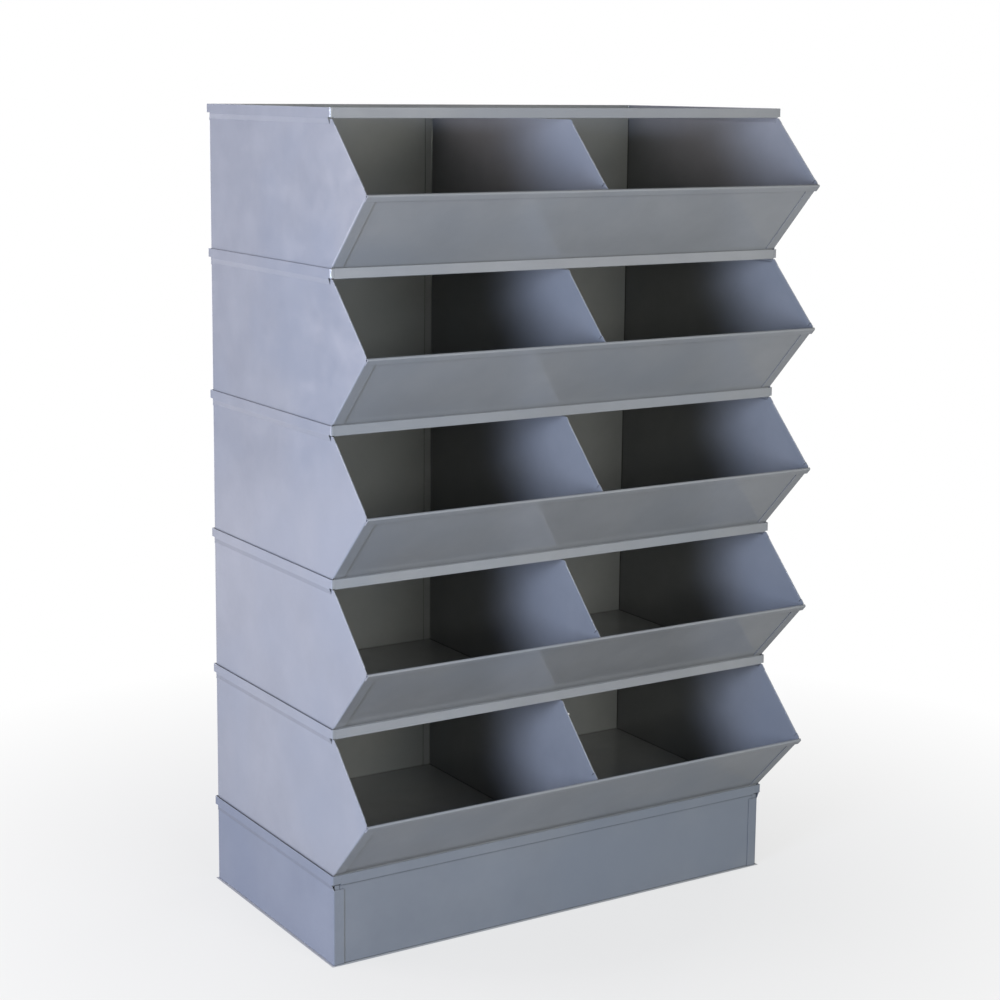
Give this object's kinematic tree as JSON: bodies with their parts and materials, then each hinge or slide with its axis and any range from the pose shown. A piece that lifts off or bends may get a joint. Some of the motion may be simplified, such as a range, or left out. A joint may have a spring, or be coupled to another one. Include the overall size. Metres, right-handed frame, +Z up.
{
  "type": "stacking bin shelving unit",
  "caption": "Free-standing stack of open hopper-front sheet steel bins on a closed base, each bin with a middle divider and nested in the widened rim of the bin below.",
  "frame": {"origin": "on the floor, under the middle of the whole unit", "axes": "+Z up, the open mouths of the bins face -Y, +X to the right as seen from the front"},
  "size_m": [0.9216, 0.5902, 1.441],
  "materials": {
    "bin_paint": "semi-gloss blue-grey enamel on folded sheet steel",
    "base_paint": "semi-gloss blue-grey enamel on folded sheet steel"
  },
  "bodies": {
    "base": {"base_side_left": "base_paint", "base_side_right": "base_paint", "base_front": "base_paint", "base_back": "base_paint"},
    "bin_1": {"bin_1_side_left": "bin_paint", "bin_1_side_right": "bin_paint", "bin_1_back": "bin_paint", "bin_1_floor": "bin_paint", "bin_1_front": "bin_paint", "bin_1_rail": "bin_paint", "bin_1_divider": "bin_paint"},
    "bin_2": {"bin_2_side_left": "bin_paint", "bin_2_side_right": "bin_paint", "bin_2_back": "bin_paint", "bin_2_floor": "bin_paint", "bin_2_front": "bin_paint", "bin_2_rail": "bin_paint", "bin_2_divider": "bin_paint"},
    "bin_3": {"bin_3_side_left": "bin_paint", "bin_3_side_right": "bin_paint", "bin_3_back": "bin_paint", "bin_3_floor": "bin_paint", "bin_3_front": "bin_paint", "bin_3_rail": "bin_paint", "bin_3_divider": "bin_paint"},
    "bin_4": {"bin_4_side_left": "bin_paint", "bin_4_side_right": "bin_paint", "bin_4_back": "bin_paint", "bin_4_floor": "bin_paint", "bin_4_front": "bin_paint", "bin_4_rail": "bin_paint", "bin_4_divider": "bin_paint"},
    "bin_5": {"bin_5_side_left": "bin_paint", "bin_5_side_right": "bin_paint", "bin_5_back": "bin_paint", "bin_5_floor": "bin_paint", "bin_5_front": "bin_paint", "bin_5_rail": "bin_paint", "bin_5_divider": "bin_paint"}
  },
  "joints": [
    {"name": "bin_1_lift", "type": "slide", "parent": "base", "child": "bin_1", "axis": [0, 0, 1], "range_m": [0, 0.05]},
    {"name": "bin_2_lift", "type": "slide", "parent": "bin_1", "child": "bin_2", "axis": [0, 0, 1], "range_m": [0, 0.05]},
    {"name": "bin_3_lift", "type": "slide", "parent": "bin_2", "child": "bin_3", "axis": [0, 0, 1], "range_m": [0, 0.05]},
    {"name": "bin_4_lift", "type": "slide", "parent": "bin_3", "child": "bin_4", "axis": [0, 0, 1], "range_m": [0, 0.05]},
    {"name": "bin_5_lift", "type": "slide", "parent": "bin_4", "child": "bin_5", "axis": [0, 0, 1], "range_m": [0, 0.05]}
  ]
}
